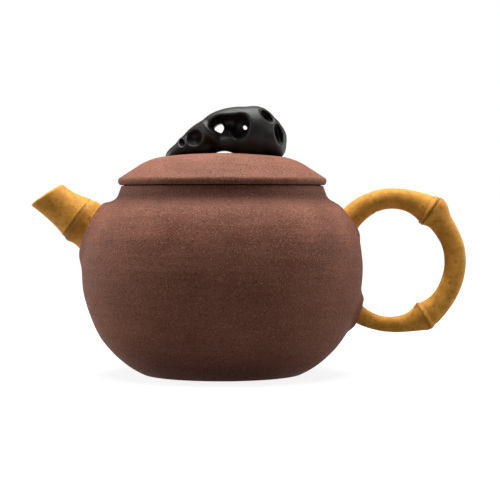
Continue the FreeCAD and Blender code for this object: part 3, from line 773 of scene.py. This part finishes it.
def lidOutline():
    seat = lid["seat"]
    ledge = lid["ledge"]
    edge = lid["flangeRadius"]
    low = lid["flangeBottom"]
    curl = lid["flangeEdge"]
    inner = edge - lid["flangeWall"]
    shoulder = lid["shoulderEnd"]
    top = (0, lid["top"])
    drop = top[1] - shoulder[1]
    crown = (shoulder[0] ** 2 / drop + drop) / 2
    points = [top] + bowPoints(top, shoulder, -crown, 16)
    points += bowPoints(shoulder, lid["slopeTop"], -lid["shoulderBow"], 10)
    points += runPoints(lid["slopeTop"], lid["domeFoot"], 8)
    points += [lid["rimTop"]] + bowPoints(lid["rimTop"], lid["rimFoot"], -lid["rimRoll"], 14)
    points += runPoints(lid["rimFoot"], (ledge, lid["rimFoot"][1]), 2)
    points += [(ledge, seat)] + runPoints((ledge, seat), (edge, seat), 4)
    points += runPoints((edge, seat), (edge, low + curl), 5)
    points += bowPoints((edge, low + curl), (edge - curl, low), -curl, 4)
    points += runPoints((edge - curl, low), (inner + curl, low), 2)
    points += bowPoints((inner + curl, low), (inner, low + curl), -curl, 4)
    foot = (inner, seat + lid["insideRise"])
    roof = (0, lid["top"] - lid["wall"])
    hip = (lid["insideHip"], roof[1] - lid["hipDrop"])
    points += runPoints((inner, low + curl), foot, 5)
    points += bowPoints(foot, hip, lid["hipBow"], 8)
    points += bowPoints(hip, roof, lid["roofBow"], 8)
    return points


# the underside of the rim is in deep shade
def rimShade(place):
    if place.xy.length <= lid["shadeOutside"]:
        return 0
    return ease((lid["shadeFrom"] - place.z) / lid["shadeRun"])


def makeLid():
    piece = turnOutline("lid_skin", lidOutline(), lid["steps"])
    shadeNodes(piece, rimShade)
    clearSelection()
    bpy.ops.mesh.primitive_cylinder_add(vertices=lid["holeSides"], radius=lid["holeRadius"] * mm,
                                        depth=lid["holeDepth"] * mm,
                                        location=(lid["holeX"] * mm, 0, lid["top"] * mm))
    drill = bpy.context.object
    cutAway(piece, drill)
    throwAway(drill)
    smoothFaces(piece, lid["smoothAngle"])
    return piece


lidSkin = makeLid()
handOver(lidSkin, "lid", "purple_clay", purpleClay, "lid_dome", "lid_rim_band", "lid_flange")

# rock knob: lumps grown together, hollowed, pitted, pierced and worn smooth
rock = {
    "voxel": 0.30, "lumpVoxel": 0.42, "hollowVoxel": 0.36, "windowVoxel": 0.24,
    "lumpWear": 6, "hollowWear": 26, "pitWear": 3, "windowWear": 6, "drillSides": 40, "drillLength": 40,
    # each is a middle, three half sizes and a tilt about Y; a minus tilt lowers the left end
    "lumps": {
        "head": (10.4, 0, 79.5, 8.6, 9.4, 9.5, 0), "heel": (14.8, 0, 77.8, 6.7, 8.6, 6.7, 0),
        "bridge": (3.4, 0, 83.9, 10.6, 7.8, 4.6, -9), "ridge": (-7.9, 0.4, 78.0, 8.8, 6.8, 4.5, -42),
        "toe": (-13.5, 0, 74.4, 6.3, 5.4, 2.7, -30), "knuckle": (-12.5, -0.4, 76.3, 2.7, 5.0, 2.5, -20),
        "backWall": (1, 4.2, 78.5, 9.5, 4.6, 7.5, 0), "leftPillar": (-3.8, -1.6, 79.4, 2.0, 6.2, 5.6, -35),
        "sill": (1.5, -0.2, 76.4, 8.0, 5.4, 3.4, 0), "middlePost": (3.4, 0.6, 80.5, 2.2, 3.4, 5.5, 0),
        "brow": (16.5, 0, 81.9, 3.0, 6.5, 3.0, 0), "heelFoot": (17.3, 0, 75.2, 4.0, 6.5, 4.2, 0),
        "leftFoot": (-6.6, 0.6, 74.6, 4.2, 5.6, 2.6, 0),
    },
    "hollows": {
        "cavernLeft": (-0.8, -8.4, 82.6, 4.0, 6.8, 3.2, -8),
        "cavernMiddle": (2.4, -8.4, 83.0, 4.0, 5.6, 2.8, 0),
        "cavernRight": (5.6, -8.6, 81.7, 3.5, 6.8, 4.6, 12),
        "leftHollow": (-9.3, -7.4, 78.4, 3.1, 5.4, 3.2, -24),
        "underHollow": (12.0, -11.0, 72.9, 9.0, 3.4, 1.7, 0),
        "backHollow": (9.5, 10, 81.5, 4.6, 4.6, 3.6, 20),
        "backMiddle": (1.5, 9.6, 80.6, 3.0, 3.4, 4.2, 0), "backLeft": (-6.8, 8, 79.5, 3.2, 4.0, 2.5, -38),
        "backTop": (4.5, 6.2, 87.6, 3.6, 2.2, 1.5, -6), "backSide": (18.4, 6.6, 80.6, 1.8, 3.6, 3.2, 12),
    },
    "pits": {
        "toePit": (-13.4, -5.6, 76.9, 1.1, 4.2, 1.8, -22), "topPit": (14.7, -6.4, 85.4, 3.2, 4.8, 1.35, 45),
        "sidePit": (18.6, -7.0, 79.7, 1.4, 4.8, 4.0, -12),
    },
    # holes from front to back: X, Z and radius
    "windows": {
        "leftMiddle": (-0.85, 81.45, 1.45), "leftPoint": (-1.9, 81.4, 0.85), "leftUpper": (-0.45, 82.4, 0.7),
        "leftLower": (-0.45, 80.5, 0.75), "rightUpper": (7.45, 82.0, 0.66), "rightLower": (7.7, 81.5, 0.7),
        "arch": (0.55, 67.9, 6.2),
    },
}


def makeEgg(name, egg):
    x, y, z, halfX, halfY, halfZ, tilt = egg
    clearSelection()
    bpy.ops.mesh.primitive_ico_sphere_add(subdivisions=5, radius=mm, location=(0, 0, 0))
    piece = nameIt(bpy.context.object, name)
    turn = Matrix.Translation(Vector((x, y, z)) * mm) @ Matrix.Rotation(math.radians(tilt), 4, "Y")
    piece.data.transform(turn @ Matrix.Diagonal((halfX, halfY, halfZ, 1)))
    return piece


def joinEggs(eggs, name):
    return joinAll([makeEgg(eggName, egg) for eggName, egg in eggs.items()], name)


def makeDrills():
    drills = []
    for x, z, radius in rock["windows"].values():
        clearSelection()
        bpy.ops.mesh.primitive_cylinder_add(vertices=rock["drillSides"], radius=radius * mm,
                                            depth=rock["drillLength"] * mm, location=(x * mm, 0, z * mm),
                                            rotation=(math.pi / 2, 0, 0))
        drills.append(bpy.context.object)
    return joinAll(drills, "rockWindowTool")


def growTogether(piece, voxel):
    pick(piece)
    skin = piece.modifiers.new("growTogether", "REMESH")
    skin.mode = "VOXEL"
    skin.voxel_size = voxel * mm
    bpy.ops.object.modifier_apply(modifier=skin.name)


def wearSmooth(piece, passes):
    pick(piece)
    wear = piece.modifiers.new("wearSmooth", "SMOOTH")
    wear.factor = 0.5
    wear.iterations = passes
    bpy.ops.object.modifier_apply(modifier=wear.name)


# the tool is cut out of the rock, and the new edges are worn
def carve(piece, tool, passes):
    cutAway(piece, tool)
    throwAway(tool)
    growTogether(piece, rock["voxel"])
    wearSmooth(piece, passes)


def makeRock():
    piece = joinEggs(rock["lumps"], "rock")
    growTogether(piece, rock["lumpVoxel"])
    wearSmooth(piece, rock["lumpWear"])
    hollows = joinEggs(rock["hollows"], "rockHollowTool")
    growTogether(hollows, rock["hollowVoxel"])
    carve(piece, hollows, rock["hollowWear"])
    carve(piece, joinEggs(rock["pits"], "rockPitTool"), rock["pitWear"])
    windows = makeDrills()
    growTogether(windows, rock["windowVoxel"])
    carve(piece, windows, rock["windowWear"])
    pick(piece)
    bpy.ops.object.shade_smooth()
    return piece


rockKnob = makeRock()
handOver(rockKnob, "lid", "black_clay", blackClay, "rock_knob")

# floor, light and camera, in metres
studio = {
    "target": (0.0092, 0, 0.041), "eye": (0.0092, -0.550, 0.058), "lens": 118.9, "sensor": 36,
    "floorSize": 6, "floorTone": 0.2, "floorRough": 0.9, "floorShine": 0.1,
    "floorGlow": 0.86, "glowFrom": 0.06, "glowTo": 0.5,
    "ambient": 0.215, "lampAim": (0, 0, 0.04),
    "lamps": {
        "topBox": {"place": (0, 0.06, 0.62), "size": (0.5, 0.5), "power": 8.5},
        "leftBox": {"place": (-0.55, 0.18, 0.11), "size": (0.4, 0.5), "power": 3.0},
        "rightBox": {"place": (0.55, 0.18, 0.11), "size": (0.4, 0.5), "power": 2.6},
    },
}
white = (1, 1, 1, 1)


# 1 for what the camera sees, straight or through glass
def seenRays(tree):
    rays = nodeIn(tree, "ShaderNodeLightPath").outputs
    return mathNode(tree, "MAXIMUM", rays["Is Camera Ray"], rays["Is Transmission Ray"]), rays


def makeFloor():
    clearSelection()
    bpy.ops.mesh.primitive_plane_add(size=studio["floorSize"], location=(0, 0, 0))
    floor = nameIt(bpy.context.object, "studioFloor")
    material, tree, shader, place = newMaterial("palePaper")
    shader.inputs["Base Color"].default_value = (studio["floorTone"],) * 3 + (1,)
    shader.inputs["Roughness"].default_value = studio["floorRough"]
    shader.inputs["Specular IOR Level"].default_value = studio["floorShine"]
    seen, rays = seenRays(tree)
    seen = mathNode(tree, "MAXIMUM", seen, rays["Is Glossy Ray"])
    distance = nodeIn(tree, "ShaderNodeVectorMath", operation="LENGTH")
    tree.links.new(place, distance.inputs[0])
    glow = spread(tree, distance.outputs["Value"], studio["glowFrom"], studio["glowTo"],
                  studio["floorGlow"], 1.0)
    tree.links.new(times(tree, seen, glow), shader.inputs["Emission Strength"])
    shader.inputs["Emission Color"].default_value = white
    floor.data.materials.append(material)


def makeWorld():
    world = bpy.data.worlds.new("studioRoom")
    bpy.context.scene.world = world
    world.use_nodes = True
    tree = world.node_tree
    sky = tree.nodes["Background"]
    sky.inputs["Color"].default_value = white
    strength = spread(tree, seenRays(tree)[0], 0, 1, studio["ambient"], 1.0)
    tree.links.new(strength, sky.inputs["Strength"])


def facing(place, aim):
    return (Vector(aim) - Vector(place)).to_track_quat("-Z", "Y").to_euler()


def addLamp(name, place, size, power):
    clearSelection()
    bpy.ops.object.light_add(type="AREA", location=place)
    lamp = nameIt(bpy.context.object, name)
    lamp.data.shape = "RECTANGLE"
    lamp.data.size, lamp.data.size_y = size
    lamp.data.energy = power
    lamp.rotation_euler = facing(place, studio["lampAim"])


def makeCamera():
    camera = bpy.data.cameras.new("photoCamera")
    camera.lens = studio["lens"]
    camera.sensor_width = studio["sensor"]
    cameraObject = bpy.data.objects.new("photoCamera", camera)
    bpy.context.collection.objects.link(cameraObject)
    cameraObject.location = studio["eye"]
    cameraObject.rotation_euler = facing(studio["eye"], studio["target"])
    bpy.context.scene.camera = cameraObject


makeFloor()
makeWorld()
for lampName, lamp in studio["lamps"].items():
    addLamp(lampName, lamp["place"], lamp["size"], lamp["power"])
makeCamera()
bpy.context.scene.view_settings.view_transform = "Standard"
print("studio set")
